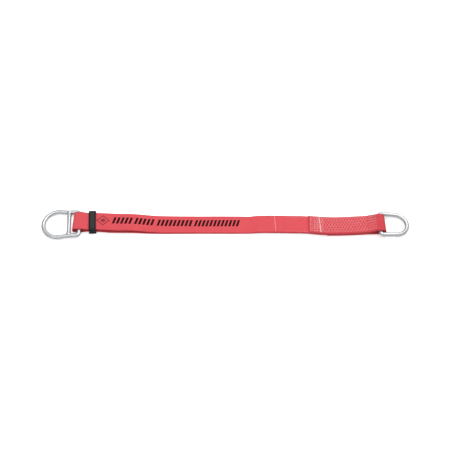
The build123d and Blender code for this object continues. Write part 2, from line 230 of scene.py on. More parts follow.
def web_material(name, printed=False, cut_ends=()):
    m, tree, shader = new_material(name)
    k = Maker(tree)
    uv = k.node("ShaderNodeUVMap", uv_map="Web").outputs[0]
    sep = k.node("ShaderNodeSeparateXYZ")
    k.put(sep.inputs[0], uv)
    u = k.math("MULTIPLY", sep.outputs[0], 1000.0)
    v = k.math("MULTIPLY", sep.outputs[1], 1000.0)
    # cords along the web, each crossed by picks that are offset from cord to cord
    a = k.math("DIVIDE", v, 1.52)
    row = k.math("FLOOR", a)
    fa = k.math("FRACT", a)
    ca = k.math("MULTIPLY_ADD", fa, 2.0, -1.0)
    rib = k.math("SUBTRACT", 1.0, k.math("MULTIPLY", ca, ca))
    odd = k.math("MULTIPLY", k.math("PINGPONG", row, 1.0), 0.5)
    b = k.math("ADD", k.math("DIVIDE", u, 2.6), odd)
    fb = k.math("FRACT", b)
    cb = k.math("MULTIPLY_ADD", fb, 2.0, -1.0)
    cb2 = k.math("MULTIPLY", cb, cb)
    pick = k.math("SUBTRACT", 1.0, k.math("MULTIPLY", cb2, cb2))
    height = k.math("MULTIPLY", k.math("POWER", rib, 0.6), k.math("MULTIPLY_ADD", pick, 0.6, 0.4))
    # fibres inside each cord, and slow change of dye along the web
    fibre = k.noise(k.vec(k.math("MULTIPLY", u, 0.35), k.math("MULTIPLY", v, 5.0)), 1.0, 3.0, 0.6)
    streak = k.noise(k.vec(k.math("MULTIPLY", u, 0.012), k.math("MULTIPLY", v, 0.45)), 1.0, 2.0)
    patch = k.noise(k.vec(k.math("MULTIPLY", u, 0.03), k.math("MULTIPLY", v, 0.04)), 1.0, 2.0)
    tone = k.math("ADD", k.math("MULTIPLY", streak, 0.5), k.math("MULTIPLY", patch, 0.5))
    colour = k.mix(k.math("MULTIPLY_ADD", tone, 1.3, -0.25, clamp=True), RED, RED_HIGH)
    # painted shade: the weave's hollows, where its height is low, are darkened towards RED_LOW
    weave_hollow_shade = k.math("MULTIPLY", k.math("SUBTRACT", 1.0, height), 0.42, clamp=True)
    colour = k.mix(weave_hollow_shade, colour, RED_LOW)
    colour = k.mix(k.math("MULTIPLY", fibre, 0.16), colour, (0.95, 0.28, 0.30, 1))
    # woven edge: one tighter cord; the colour is darker along both edges of the web and darker still along the far edge
    edge = k.step(k.math("ABSOLUTE", v), W / 2 - 1.9, 0.5)
    far = k.step(v, 0.0, 1.0)
    colour = k.mix(k.math("MULTIPLY", edge, k.math("MULTIPLY_ADD", far, 0.30, 0.30)), colour, RED_LOW)
    # painted shade on the splice cover: the whole cover is darker for the shade in its stitch holes, and darker still
    # round the fold, where the cloth turns away from the light
    if cut_ends:
        fold = k.band(u, 376.0, 424.0, 14.0)
        colour = k.mix(k.math("MULTIPLY_ADD", fold, 0.14, 0.20), colour, RED_LOW)
    for cut in cut_ends:
        seal = k.math("SUBTRACT", 1.0, k.step(k.math("ABSOLUTE", k.math("SUBTRACT", u, cut)), 1.1, 0.9))
        colour = k.mix(k.math("MULTIPLY", seal, 0.65), colour, (0.17, 0.006, 0.010, 1))
    rough = k.math("MULTIPLY_ADD", fibre, 0.16, 0.60)
    if printed:
        lean = k.math("SUBTRACT", u, k.math("MULTIPLY", v, 0.30))
        groups = None
        for lo, hi, count in PRINT_GROUPS:
            # count bars of one width, each with a gap after it but the last
            pitch = (hi - lo) / (count - 0.42)
            t = k.math("FRACT", k.math("DIVIDE", k.math("SUBTRACT", lean, lo), pitch))
            g = k.math("MULTIPLY", k.band(lean, lo, hi, 0.4), k.math("SUBTRACT", 1.0, k.step(t, 0.58, 0.05)))
            groups = g if groups is None else k.math("MAXIMUM", groups, g)
        tall = k.band(v, 4.1 - 9.5, 4.1 + 9.5, 0.5)
        ink = k.math("MULTIPLY", groups, tall)
        # a plain lozenge with a smaller one in it
        ou = k.math("ABSOLUTE", k.math("DIVIDE", k.math("SUBTRACT", u, -311.5), 17.5))
        ov = k.math("ABSOLUTE", k.math("DIVIDE", k.math("SUBTRACT", v, 2.6), 15.4))
        r = k.math("ADD", ou, ov)
        lozenge = k.math("MAXIMUM", k.band(r, 0.78, 1.0, 0.05), k.band(r, -1.0, 0.42, 0.05))
        wear = k.math("MULTIPLY_ADD", fibre, 0.16, 0.88, clamp=True)
        colour = k.mix(k.math("MULTIPLY", lozenge, 0.74), colour, (0.10, 0.004, 0.008, 1))
        colour = k.mix(k.math("MULTIPLY", ink, wear), colour, (0.004, 0.002, 0.003, 1))
        dull = k.math("SUBTRACT", 1.0, k.math("MULTIPLY", ink, 0.85))
        k.put(shader.inputs["Sheen Weight"], k.math("MULTIPLY", dull, 0.16))
        k.put(shader.inputs["Specular IOR Level"], k.math("MULTIPLY", dull, 0.28))
    k.put(shader.inputs["Base Color"], colour)
    k.put(shader.inputs["Roughness"], rough)
    if not printed:
        shader.inputs["Sheen Weight"].default_value = 0.16
        shader.inputs["Specular IOR Level"].default_value = 0.28
    shader.inputs["Sheen Roughness"].default_value = 0.4
    shader.inputs["Sheen Tint"].default_value = (1, 0.62, 0.62, 1)
    bump = k.node("ShaderNodeBump")
    bump.inputs["Strength"].default_value = 0.75
    bump.inputs["Distance"].default_value = 0.00045
    k.put(bump.inputs["Height"], k.math("ADD", height, k.math("MULTIPLY", fibre, 0.35)))
    k.put(shader.inputs["Normal"], bump.outputs[0])
    return m


def thread_material(name, light, dark):
    m, tree, shader = new_material(name)
    k = Maker(tree)
    co = k.node("ShaderNodeTexCoord").outputs["Object"]
    n = k.noise(co, 900.0, 2.0)
    tone = k.noise(co, 60.0, 1.0)
    twist = k.node("ShaderNodeTexWave", bands_direction="DIAGONAL")
    k.put(twist.inputs["Vector"], co)
    twist.inputs["Scale"].default_value = 620.0
    twist.inputs["Distortion"].default_value = 1.5
    # thread colour runs from dark to light across the twist, as painted shade in the twist's grooves, mixed with a
    # random tone along the thread
    f = k.math("ADD", k.math("MULTIPLY", twist.outputs["Fac"], 0.5), k.math("MULTIPLY", tone, 0.5))
    k.put(shader.inputs["Base Color"], k.mix(f, dark, light))
    k.put(shader.inputs["Roughness"], k.math("MULTIPLY_ADD", n, 0.25, 0.42))
    shader.inputs["Sheen Weight"].default_value = 0.2
    bump = k.node("ShaderNodeBump")
    bump.inputs["Strength"].default_value = 0.5
    bump.inputs["Distance"].default_value = 0.00015
    k.put(bump.inputs["Height"], twist.outputs["Fac"])
    k.put(shader.inputs["Normal"], bump.outputs[0])
    return m


def steel_material(name, base, low, rough):
    m, tree, shader = new_material(name)
    k = Maker(tree)
    co = k.node("ShaderNodeTexCoord").outputs["Object"]
    cloud = k.noise(co, 38.0, 4.0, 0.6)
    fine = k.noise(co, 900.0, 2.0, 0.6)
    spangle = k.node("ShaderNodeTexVoronoi")
    k.put(spangle.inputs["Vector"], co)
    spangle.inputs["Scale"].default_value = 260.0
    k.put(shader.inputs["Base Color"], k.mix(k.math("MULTIPLY_ADD", cloud, 1.4, -0.35, clamp=True), base, low))
    shader.inputs["Metallic"].default_value = 1.0
    r = k.math("MULTIPLY_ADD", cloud, 0.16, rough - 0.08)
    r = k.math("ADD", r, k.math("MULTIPLY", spangle.outputs["Distance"], 0.05))
    k.put(shader.inputs["Roughness"], r)
    bump = k.node("ShaderNodeBump")
    bump.inputs["Strength"].default_value = 0.25
    bump.inputs["Distance"].default_value = 0.0001
    k.put(bump.inputs["Height"], k.math("ADD", fine, k.math("MULTIPLY", cloud, 2.0)))
    k.put(shader.inputs["Normal"], bump.outputs[0])
    return m


def plastic_material(name, base, high):
    m, tree, shader = new_material(name)
    k = Maker(tree)
    co = k.node("ShaderNodeTexCoord").outputs["Object"]
    grain = k.noise(co, 1400.0, 2.0, 0.7)
    cloud = k.noise(co, 120.0, 3.0)
    k.put(shader.inputs["Base Color"], k.mix(cloud, base, high))
    k.put(shader.inputs["Roughness"], k.math("MULTIPLY_ADD", cloud, 0.16, 0.48))
    shader.inputs["Specular IOR Level"].default_value = 0.16
    bump = k.node("ShaderNodeBump")
    bump.inputs["Strength"].default_value = 0.3
    bump.inputs["Distance"].default_value = 0.0001
    k.put(bump.inputs["Height"], grain)
    k.put(shader.inputs["Normal"], bump.outputs[0])
    return m


MAT_WEB = web_material("web_plain")
MAT_PRINT = web_material("web_printed", printed=True)
MAT_COVER = web_material("web_cover", cut_ends=(COVER_START,))
MAT_THREAD = thread_material("thread_pink", (0.80, 0.43, 0.44, 1), (0.66, 0.22, 0.24, 1))
MAT_TACK = thread_material("thread_pale", (0.84, 0.62, 0.60, 1), (0.74, 0.36, 0.36, 1))
MAT_STEEL = steel_material("zinc_steel", (0.57, 0.58, 0.595, 1), (0.46, 0.47, 0.485, 1), 0.44)
MAT_BLACK = plastic_material("black_plastic", (0.004, 0.004, 0.005, 1), (0.012, 0.012, 0.013, 1))
MAT_STRIP = plastic_material("black_strip", (0.020, 0.020, 0.021, 1), (0.031, 0.031, 0.032, 1))


# ------------------------------------------------------------------ webbing
COLUMNS = 40


def section(half, thick, columns=COLUMNS):
    """One turn round the web's cross section, as (sideways, up), with rounded edges."""
    r = thick / 2
    e = 0.9 * r
    flat = np.linspace(-half + e, half - e, columns)
    top = [(v, r) for v in flat]
    right = [(half - e + e * math.cos(a), r * math.sin(a)) for a in np.radians([60, 30, 0, -30, -60])]
    low = [(v, -r) for v in flat[::-1]]
    left = [(-half + e + e * math.cos(a), r * math.sin(a)) for a in np.radians([240, 210, 180, 150, 120])]
    return np.array(top + right + low + left)


def strip_mesh(name, path, y_of, material, u0, u_sign=1, side=1, half=W / 2, thick=T, shape=None):
    """A closed strip of webbing. path is the side view of its middle layer, in mm. side is 1 where its upper face is on the left of the path, and -1 where it is on the right."""
    path = np.asarray(path, float)
    keep = np.r_[True, np.linalg.norm(np.diff(path, axis=0), axis=1) > 1e-3]
    path = path[keep]
    d = np.gradient(path, axis=0)
    d /= np.linalg.norm(d, axis=1)[:, None]
    normal = side * np.stack([-d[:, 1], d[:, 0]], 1)
    s = np.r_[0, np.cumsum(np.linalg.norm(np.diff(path, axis=0), axis=1))]
    u = u0 + u_sign * s
    ring = section(half, thick)
    n, m = len(path), len(ring)
    y = y_of(path, s)
    verts = np.zeros((n, m, 3))
    for j, (across, up) in enumerate(ring):
        h = np.full(n, up)
        if shape is not None:
            h = h + shape(path, s, across)
        verts[:, j, 0] = path[:, 0] + normal[:, 0] * h
        verts[:, j, 2] = path[:, 1] + normal[:, 1] * h
        verts[:, j, 1] = y + across
    co = verts.reshape(-1, 3)
    faces = []
    for i in range(n - 1):
        for j in range(m):
            a, b = i * m + j, i * m + (j + 1) % m
            c, e = a + m, b + m
            faces.append((a, c, e, b) if side > 0 else (a, b, e, c))
    first, last = list(range(m)), [(n - 1) * m + j for j in range(m)]
    faces.append(tuple(first) if side > 0 else tuple(reversed(first)))
    faces.append(tuple(reversed(last)) if side > 0 else tuple(last))
    mesh = bpy.data.meshes.new(name)
    mesh.from_pydata((co * MM).tolist(), [], faces)
    mesh.materials.append(material)
    mesh.materials.append(MAT_WEB)
    slots = [0 if (k % m) < COLUMNS - 1 else 1 for k in range((n - 1) * m)] + [1, 1]
    mesh.polygons.foreach_set("material_index", slots)
    mesh.polygons.foreach_set("use_smooth", [True] * (len(faces) - 2) + [False, False])
    layer = mesh.uv_layers.new(name="Web")
    index = np.zeros(len(mesh.loops), int)
    mesh.loops.foreach_get("vertex_index", index)
    uv = np.stack([u[index // m], ring[index % m, 0]], 1) * MM
    layer.data.foreach_set("uv", uv.ravel())
    mesh.update()
    ends = np.zeros(len(mesh.edges) * 2, int)
    mesh.edges.foreach_get("vertices", ends)
    ends = ends.reshape(-1, 2)
    rim = np.all(ends < m, 1) | np.all(ends >= (n - 1) * m, 1)
    mesh.attributes.new("sharp_edge", "BOOLEAN", "EDGE").data.foreach_set("value", rim)
    o = bpy.data.objects.new(name, mesh)
    scene.collection.objects.link(o)
    o["flat_length"] = float(s[-1]) * MM
    return o


def y_top(path, s=None):
    return smooth_curve(Y_TOP, path[:, 0], 15)


def y_low(path, s=None):
    return smooth_curve(Y_LOW, path[:, 0], 15)


def ripple(seed, size=0.12):
    def f(path, s, across):
        x = path[:, 0]
        return size * (np.sin(x / 23.0 + seed + across * 0.06) + 0.6 * np.sin(x / 9.7 + 2 * seed - across * 0.11)) * 0.6
    return f


def mid(height):
    return lambda x: height(x) + T / 2


def two(path_a, path_b):
    return np.concatenate([path_a, path_b[1:]])


# left eye: front ply, round the end bar, back ply, from the middle of the second stretch
def level(z):
    return lambda x: np.full_like(x, z)


N_ARC = 30
left_path = line_of(MID_2, -366.0, mid(front_z))
top_end = left_path[-1, 1]
blend_top = np.stack([np.linspace(-366.0, EYE1_CX, 5), np.linspace(top_end, EYE1_CZ + EYE1_R + T / 2, 5)], 1)
left_path = two(left_path, blend_top)
left_path = two(left_path, arc(EYE1_CX, EYE1_CZ, EYE1_R + T / 2, 90, 270, N_ARC))
left_path = two(left_path, line_of(EYE1_CX, MID_2, mid(back_z)))
fold_at = int(np.argmin(left_path[:, 0]))


def y_left(path, s):
    """Y of the middle line all the way round: the upper run's, changing to the lower run's in the fold."""
    w = np.clip((np.arange(len(path)) - (fold_at - 14)) / 28.0, 0, 1)
    w = w * w * (3 - 2 * w)
    return (1 - w) * y_top(path) + w * y_low(path)


def left_shape(path, s, across):
    """Far edge lifted where it lies over the ring's corner, and the fold standing a little askew."""
    x, z = path[:, 0], path[:, 1]
    upper = np.clip((z - EYE1_CZ - 3.0) / 5.0, 0, 1)
    near_x = np.exp(-((x + 371.0) / 15.0) ** 2)
    side = np.clip((across + 2.0) / 27.0, 0, 1) ** 2
    fold = np.clip((EYE1_CX - x) / EYE1_R, 0, 1)
    return ripple(0.4, 0.10)(path, s, across) + 3.0 * upper * near_x * side + fold * (0.1 - 0.040 * across)


p1 = strip_mesh("web_loop_left", left_path, y_left, MAT_PRINT, u0=MID_2, u_sign=-1, side=-1, shape=left_shape)
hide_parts("web_left_eye", "web_back_2", "web_front_2")

# middle stretches, two plies each
def front_strip(name, x0, x1, material, seed, nodes=()):
    o = strip_mesh(name, line_of(x0, x1, mid(front_z)), y_top, material, u0=x0, shape=ripple(seed, 0.10))
    if nodes:
        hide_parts(*nodes)
    return o


def back_strip(name, x0, x1, seed, nodes=()):
    o = strip_mesh(name, line_of(x0, x1, mid(back_z)), y_low, MAT_WEB, u0=x0, shape=ripple(seed, 0.08))
    if nodes:
        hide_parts(*nodes)
    return o


p2f = front_strip("web_front_run_2", MID_2, MID_3, MAT_PRINT, 0.4)
p2b = back_strip("web_back_run_2", MID_2, MID_3, 0.4)
p3f = front_strip("web_front_run_3", MID_3, MID_4, MAT_PRINT, 0.4, ("web_front_3",))
p3b = back_strip("web_back_run_3", MID_3, MID_4, 0.4, ("web_back_3",))
JOIN_5 = 150.0


def front5_z(x):
    x = np.asarray(x, float)
    return smooth_curve([(61.0, PITCH), (76.0, 2 * PITCH + 0.6)], x, 7) + smooth_curve([(120.0, 0.0), (205.0, -0.6)], x, 10) + smooth_curve(STEP, x, 7) + smooth_curve(CLIMB, x, 7)


def lap5_z(x):
    return smooth_curve(STEP, x, 7) + PITCH


p4f = strip_mesh("web_front_run_4", line_of(MID_4, JOIN_5, mid(front5_z)), y_top, MAT_WEB, u0=MID_4, shape=ripple(0.4, 0.10))
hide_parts("web_front_4")
p4b = strip_mesh("web_back_run_4", line_of(MID_4, JOIN_5, mid(back_z)), y_low, MAT_WEB, u0=MID_4, shape=ripple(0.4, 0.08))
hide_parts("web_back_4")
p4l = strip_mesh("web_lap_run_4", line_of(LAP_START, JOIN_5, mid(lap5_z)), y_low, MAT_COVER, u0=LAP_START, half=W / 2 - 0.3)
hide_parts("web_lap_4")

# right eye: front ply, round the ring's bar, back ply
right_path = line_of(JOIN_5, EYE2_CX, mid(front5_z))
right_path[-3:, 1] = np.linspace(right_path[-3, 1], EYE2_CZ + EYE2_R + T / 2, 3)
right_path = two(right_path, arc(EYE2_CX, EYE2_CZ, EYE2_R + T / 2, 90, -90, N_ARC))
right_path = two(right_path, line_of(EYE2_CX, JOIN_5, mid(back_z)))


def right_shape(path, s, across):
    """The fold askew, and its far edge pressed lower over the bar."""
    x, z = path[:, 0], path[:, 1]
    fold = np.clip((x - EYE2_CX) / EYE2_R, 0, 1)
    upper = np.clip((z - EYE2_CZ) / 6.0, 0, 1) * np.clip((x - 362.0) / 22.0, 0, 1)
    side = np.clip((across + 2.0) / 27.0, 0, 1)
    return fold * (-0.30 - 0.042 * across) - 1.9 * upper * side


fold5_at = int(np.argmax(right_path[:, 0]))


def over_fold(path, at, half):
    """0 on the run before the fold and 1 on the run after it."""
    w = np.clip((np.arange(len(path)) - (at - half)) / (2.0 * half), 0, 1)
    return w * w * (3 - 2 * w)


def y_right(path, s):
    w = over_fold(path, fold5_at, 14)
    return (1 - w) * y_top(path) + w * y_low(path)


p5 = strip_mesh("web_loop_right", right_path, y_right, MAT_WEB, u0=JOIN_5, shape=right_shape)
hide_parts("web_right_eye")
p5l = strip_mesh("web_lap_run_5", line_of(JOIN_5, LAP_END, mid(lap5_z)), y_low, MAT_WEB, u0=JOIN_5, half=W / 2 - 0.3)
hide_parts("splice_lap")


# cover: from its cut end on the front, round the fold, to its cut end on the back
def cover_top_z(x):
    return front5_z(x) + PITCH


cover_path = line_of(COVER_START, EYE2_CX, mid(cover_top_z))
cover_path[-3:, 1] = np.linspace(cover_path[-3, 1], EYE2_CZ + EYE2_R + PITCH + T / 2, 3)
cover_path = two(cover_path, arc(EYE2_CX, EYE2_CZ, EYE2_R + PITCH + T / 2, 90, -90, N_ARC))
cover_path = two(cover_path, line_of(EYE2_CX, COVER_BACK, mid(level(0.0))))
under = np.cumsum(np.r_[0, np.linalg.norm(np.diff(cover_path, axis=0), axis=1)])


def y_cover(path, s):
    """The cover's lower run drifts towards the near side at its cut end."""
    w = over_fold(path, int(np.argmax(path[:, 0])), 16)
    drift = np.interp(path[:, 0], [COVER_BACK, 300.0, 380.0], DRIFT)
    return (1 - w) * y_top(path) + w * (y_low(path) + drift)


p6 = strip_mesh("web_splice_cover", cover_path, y_cover, MAT_COVER, u0=COVER_START, half=W / 2 - 0.2, shape=right_shape)
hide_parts("splice_cover")


# ------------------------------------------------------------------ sewing
class Tubes:
    """Many short round stitches gathered in one mesh."""

    def __init__(self, name, material, body, nodes=(), slot="thread"):
        self.name, self.material, self.body, self.nodes, self.slot = name, material, body, nodes, slot
        self.verts, self.faces = [], []

    def stitch(self, a, b, up, r=0.5, rise=0.35, sides=8, rings=7):
        """One stitch from a to b that dips into the cloth at both ends."""
        a, b, up = np.array(a, float), np.array(b, float), np.array(up, float)
        d = (b - a) / np.linalg.norm(b - a)
        across = np.cross(d, up)
        across /= np.linalg.norm(across)
        up = np.cross(across, d)
        base = len(self.verts)
        for i in range(rings):
            t = i / (rings - 1)
            k = math.sin(math.pi * t)
            c = a + (b - a) * t + up * (rise * k ** 0.7 - 0.45)
            rad = r * (0.55 + 0.45 * k ** 0.5)
            for j in range(sides):
                q = 2 * math.pi * j / sides
                self.verts.append(c + (across * math.cos(q) + up * math.sin(q) * 0.85) * rad)
        for i in range(rings - 1):
            for j in range(sides):
                p, q = base + i * sides + j, base + i * sides + (j + 1) % sides
                self.faces.append((p, p + sides, q + sides, q))
        self.faces.append(tuple(base + j for j in range(sides)))
        self.faces.append(tuple(base + (rings - 1) * sides + j for j in reversed(range(sides))))

    def done(self):
        mesh = bpy.data.meshes.new(self.name)
        mesh.from_pydata((np.array(self.verts) * MM).tolist(), [], self.faces)
        mesh.materials.append(self.material)
        mesh.polygons.foreach_set("use_smooth", [True] * len(self.faces))
        mesh.update()
        o = bpy.data.objects.new(self.name, mesh)
        scene.collection.objects.link(o)
        if self.nodes:
            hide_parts(*self.nodes)
        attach(o, self.body)
        return o


def frame_at(height, x, offset, y_of=None):
    """Point on the top of a ply at x, offset across it, with the cloth's normal."""
    px = np.array([x - 0.5, x, x + 0.5])
    z = height(px) + T
    y = (y_of or y_top)(np.stack([px, z], 1))[1] + offset
    slope = z[2] - z[0]
    n = np.array([-slope, 0, 1.0])
    return np.array([x, y, z[1]]), n / np.linalg.norm(n)


def run_line(tubes, height, points, pitch, fill=0.86, jitter=0.0, rng=None, **kw):
    """Stitches of one length along a polyline of (x, offset) points."""
    points = np.array(points, float)
    seg = np.linalg.norm(np.diff(points, axis=0), axis=1)
    s = np.r_[0, np.cumsum(seg)]
    count = max(1, int(round(s[-1] / pitch)))
    for i in range(count):
        a, b = (i + (1 - fill) / 2) / count * s[-1], (i + (1 + fill) / 2) / count * s[-1]
        ends = []
        for v in (a, b):
            x, o = np.interp(v, s, points[:, 0]), np.interp(v, s, points[:, 1])
            if rng:
                x, o = x + rng.uniform(-jitter, jitter), o + rng.uniform(-jitter, jitter)
            ends.append(frame_at(height, x, o))
        tubes.stitch(ends[0][0], ends[1][0], (ends[0][1] + ends[1][1]) / 2, **kw)


rng = random.Random(11)
ROWS = 6
ROW_GAP = 7.4
rows = Tubes("splice_thread", MAT_THREAD, "web_right", ("splice_stitch_rows",))
for k in range(ROWS):
    off = (k - (ROWS - 1) / 2) * ROW_GAP + 0.4
    sign = 1 if k % 2 else -1
    amp = 3.1
    # zigzag field
    x, pts = 226.0, [(226.0, off)]
    step_x = 3.7
    while x < 358.0:
        x += step_x
        pts.append((x, off + sign * amp))
        sign = -sign
    pts.append((x + step_x / 2, off))
    for a, b in zip(pts, pts[1:]):
        run_line(rows, cover_top_z, [a, b], 3.6, rng=rng, jitter=0.18, r=0.52)
    # straight rows at the eye's end
    run_line(rows, cover_top_z, [(x + 4.5, off - 1.3), (384.0, off - 1.3)], 4.3, rng=rng, jitter=0.15, r=0.52)
    run_line(rows, cover_top_z, [(x + 3.0, off + 1.3), (383.0, off + 1.3)], 4.3, rng=rng, jitter=0.15, r=0.52)
# boxes at the cover's cut end: cross rows joined by lengthwise stitches
for cx in (216.5, 220.0, 226.0, 233.5, 247.5):
    run_line(rows, cover_top_z, [(cx, -20.5), (cx + 0.9, 20.5)], 4.1, rng=rng, jitter=0.2, r=0.52)
for k in range(7):
    off = (k - 3) * 6.4
    run_line(rows, cover_top_z, [(215.5, off), (246.0, off)], 3.9, rng=rng, jitter=0.2, r=0.52)
rows_obj = rows.done()

edge = Tubes("splice_edge_thread", MAT_TACK, "web_right")
run_line(edge, cover_top_z, [(215.0, 23.4), (384.0, 23.4)], 4.6, fill=0.6, rng=rng, jitter=0.2, r=0.5)
edge_obj = edge.done()

# tacks: a thin line of overlapping slanted stitches, and a bar tack of packed stitches
t1 = Tubes("tack_thread_1", MAT_TACK, "web_right", ("tack_stitch_1",))
# kept on the web's stiff part, so that it moves as the cloth under it does
for i in range(11):
    a = -21.6 + i * 3.95
    x0 = 127.2 - math.tan(math.radians(4.0)) * a
    p, n = frame_at(front5_z, x0, a)
    q, _ = frame_at(front5_z, x0 - math.tan(math.radians(4.0)) * 3.7, a + 3.7)
    t1.stitch(p, q, n, r=0.62, rise=0.5)
t1_obj = t1.done()

t2 = Tubes("tack_thread_2", MAT_TACK, "web_right", ("tack_stitch_2",))
for i in range(54):
    a = -21.5 + i * 0.82
    lean = -math.tan(math.radians(3.0)) * a
    w = 1.75 + 0.25 * math.sin(i * 2.1)
    p, n = frame_at(cover_top_z, 240.6 + lean - w, a + 0.25)
    q, _ = frame_at(cover_top_z, 240.6 + lean + w, a - 0.25)
    t2.stitch(p, q, n, r=0.46, rise=0.55, rings=6, sides=6)
t2_obj = t2.done()

s1 = Tubes("edge_thread_far", MAT_THREAD, "web_right", ("edge_seam_far",))
run_line(s1, front5_z, [(153.0, W / 2 - 3.6), (211.0, W / 2 - 3.6)], 4.2, rng=rng, jitter=0.15, r=0.42)
s1_obj = s1.done()
s2 = Tubes("edge_thread_near", MAT_THREAD, "web_right", ("edge_seam_near",))
run_line(s2, front5_z, [(153.0, -W / 2 + 3.6), (211.0, -W / 2 + 3.6)], 4.2, rng=rng, jitter=0.15, r=0.42)
s2_obj = s2.done()


# ------------------------------------------------------------------ rings
def tube(name, points, radius, material, body, nodes, closed=True, sides=36):
    """A round bar along points, with radius a number or one for each point."""
    points = np.asarray(points, float)
    n = len(points)
    radius = np.broadcast_to(radius, (n,))
    d = np.roll(points, -1, 0) - np.roll(points, 1, 0) if closed else np.gradient(points, axis=0)
    d /= np.linalg.norm(d, axis=1)[:, None]
    centre = points.mean(0)
    flat = np.linalg.svd(points - centre)[2][2] if closed else np.array([0.0, 0.0, 1.0])
    verts = []
    for i in range(n):
        side = np.cross(d[i], flat)
        side /= np.linalg.norm(side)
        up = np.cross(side, d[i])
        for j in range(sides):
            q = 2 * math.pi * j / sides
            verts.append(points[i] + radius[i] * (side * math.cos(q) + up * math.sin(q)))
    faces = []
    for i in range(n if closed else n - 1):
        for j in range(sides):
            a, b = i * sides + j, i * sides + (j + 1) % sides
            c, e = ((i + 1) % n) * sides + j, ((i + 1) % n) * sides + (j + 1) % sides
            faces.append((a, c, e, b))
    if not closed:
        faces.append(tuple(range(sides)))
        faces.append(tuple(reversed(range((n - 1) * sides, n * sides))))
    mesh = bpy.data.meshes.new(name)
    mesh.from_pydata((np.array(verts) * MM).tolist(), [], faces)
    mesh.materials.append(material)
    mesh.polygons.foreach_set("use_smooth", [True] * len(faces))
    mesh.update()
    o = bpy.data.objects.new(name, mesh)
    scene.collection.objects.link(o)
    if nodes:
        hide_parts(*nodes)
    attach(o, body)
    return o


def rounded(points, r, n=14):
    """Corner at the middle one of three points rounded to radius r."""
    a, p, b = [np.array(v, float) for v in points]
    u, v = (a - p) / np.linalg.norm(a - p), (b - p) / np.linalg.norm(b - p)
    half = math.acos(float(np.clip(u @ v, -1, 1))) / 2
    back = r / math.tan(half)
    c = p + (u + v) / np.linalg.norm(u + v) * r / math.sin(half)
    s0, s1 = p + u * back - c, p + v * back - c
    a0, a1 = math.atan2(s0[1], s0[0]), math.atan2(s1[1], s1[0])
    while a1 - a0 > math.pi:
        a1 -= 2 * math.pi
    while a1 - a0 < -math.pi:
        a1 += 2 * math.pi
    return [(c[0] + r * math.cos(t), c[1] + r * math.sin(t)) for t in np.linspace(a0, a1, n)]


def ring_outline(leg, touch, apex, corner, bow_r, bow_u, knee=None):
    """Centre line of a D ring in its own plane: bar at u = 0, then leg, bow, leg. knee is where a leg turns outward."""
    far = rounded([(0, 0), (0, leg), knee or touch], corner)
    if knee:
        far += rounded([(0, leg), knee, touch], 3 * corner, 8)
    start = math.atan2(touch[1], touch[0] - bow_u)
    bow = [(bow_u + bow_r * math.cos(t), bow_r * math.sin(t)) for t in np.linspace(start, -start, 90)]
    near = [(u, -v) for u, v in reversed(far)]
    bar = [(0, v) for v in np.linspace(near[-1][1], far[0][1], 22)[1:-1]]
    leg_far = [tuple(np.array(far[-1]) + (np.array(bow[0]) - np.array(far[-1])) * t) for t in np.linspace(0, 1, 14)[1:-1]]
    leg_near = [(u, -v) for u, v in reversed(leg_far)]
    return np.array(bar + far + leg_far + bow + leg_near + near)


# choker ring
R1, R1X = 5.55, 5.1
APEX1, BOW1, CROSS1, LEG1, KNEE1 = 91.1, 38.3, 26.0, 34.7, (30.0, 35.4)
bar1 = np.array([-371.7, 1.5, T + 0.4 + R1])
dip = math.asin((bar1[2] - R1 - 0.02) / APEX1)
turn1 = math.radians(1.75)
u1 = np.array([-math.cos(dip) * math.cos(turn1), -math.cos(dip) * math.sin(turn1), -math.sin(dip)])
v1 = np.array([-math.sin(turn1), math.cos(turn1), 0])
bow1_u = APEX1 - BOW1
reach1 = math.hypot(bow1_u - KNEE1[0], KNEE1[1])
swing1 = math.atan2(KNEE1[1], bow1_u - KNEE1[0]) + math.acos(BOW1 / reach1)
touch1 = (bow1_u - BOW1 * math.cos(swing1), BOW1 * math.sin(swing1))
out1 = ring_outline(LEG1, touch1, APEX1, 7.0, BOW1, bow1_u, KNEE1)
pts1 = bar1 + out1[:, :1] * u1 + out1[:, 1:] * v1
ring1 = tube("choker_ring_body", pts1, R1, MAT_STEEL, "choker_ring", ("choker_ring_frame",))

cross_v = LEG1 + (KNEE1[1] - LEG1) * CROSS1 / KNEE1[0]
cv = np.concatenate([np.linspace(-cross_v, -cross_v + 11, 26), np.linspace(-cross_v + 11, cross_v - 11, 30)[1:-1], np.linspace(cross_v - 11, cross_v, 26)])
reach = cross_v - np.abs(cv)
flareout = np.clip((9.6 - reach) / 4.1, 0, 1)
bead = 2.3 * flareout ** 2 + 0.16 * flareout * np.sin(reach * 5.5)
cross_pts = bar1 + CROSS1 * u1 + cv[:, None] * v1
cross = tube("choker_ring_bar", cross_pts, R1X + bead, MAT_STEEL, "choker_ring", ("choker_ring_crossbar",), closed=False)

# end ring
R2 = 5.75
yaw5 = math.atan2(-4.6 + 1.2, 393.8 - SEG5)
roll, tilt = math.radians(2.0), math.radians(4.6)
ahead = np.array([math.cos(yaw5), math.sin(yaw5), 0])
across2 = np.array([-math.sin(yaw5), math.cos(yaw5), 0]) * math.cos(roll) + np.array([0, 0, -math.sin(roll)])
upward = np.cross(ahead, across2)
out2 = ahead * math.cos(tilt) - upward * math.sin(tilt)
bar2 = np.array([393.8, -4.6, PITCH + T + 1.3 + R2])
APEX2, BOW2, TAPER2 = 68.8, 30.3, math.radians(3.0)
bow2_u = APEX2 - BOW2
touch2 = (bow2_u + BOW2 * math.sin(TAPER2), BOW2 * math.cos(TAPER2))
leg2 = touch2[1] + touch2[0] * math.tan(TAPER2)
line2 = ring_outline(leg2, touch2, APEX2, 6.8, BOW2, bow2_u)
pts2 = bar2 + line2[:, :1] * out2 + line2[:, 1:] * across2
# butt weld in the bar that the web hides
weld = 0.35 * np.exp(-((line2[:, 1] / 2.6) ** 2)) * (np.abs(line2[:, 0]) < 1)
ring2 = tube("end_ring_body", pts2, R2 + weld, MAT_STEEL, "end_ring", ("end_ring",))


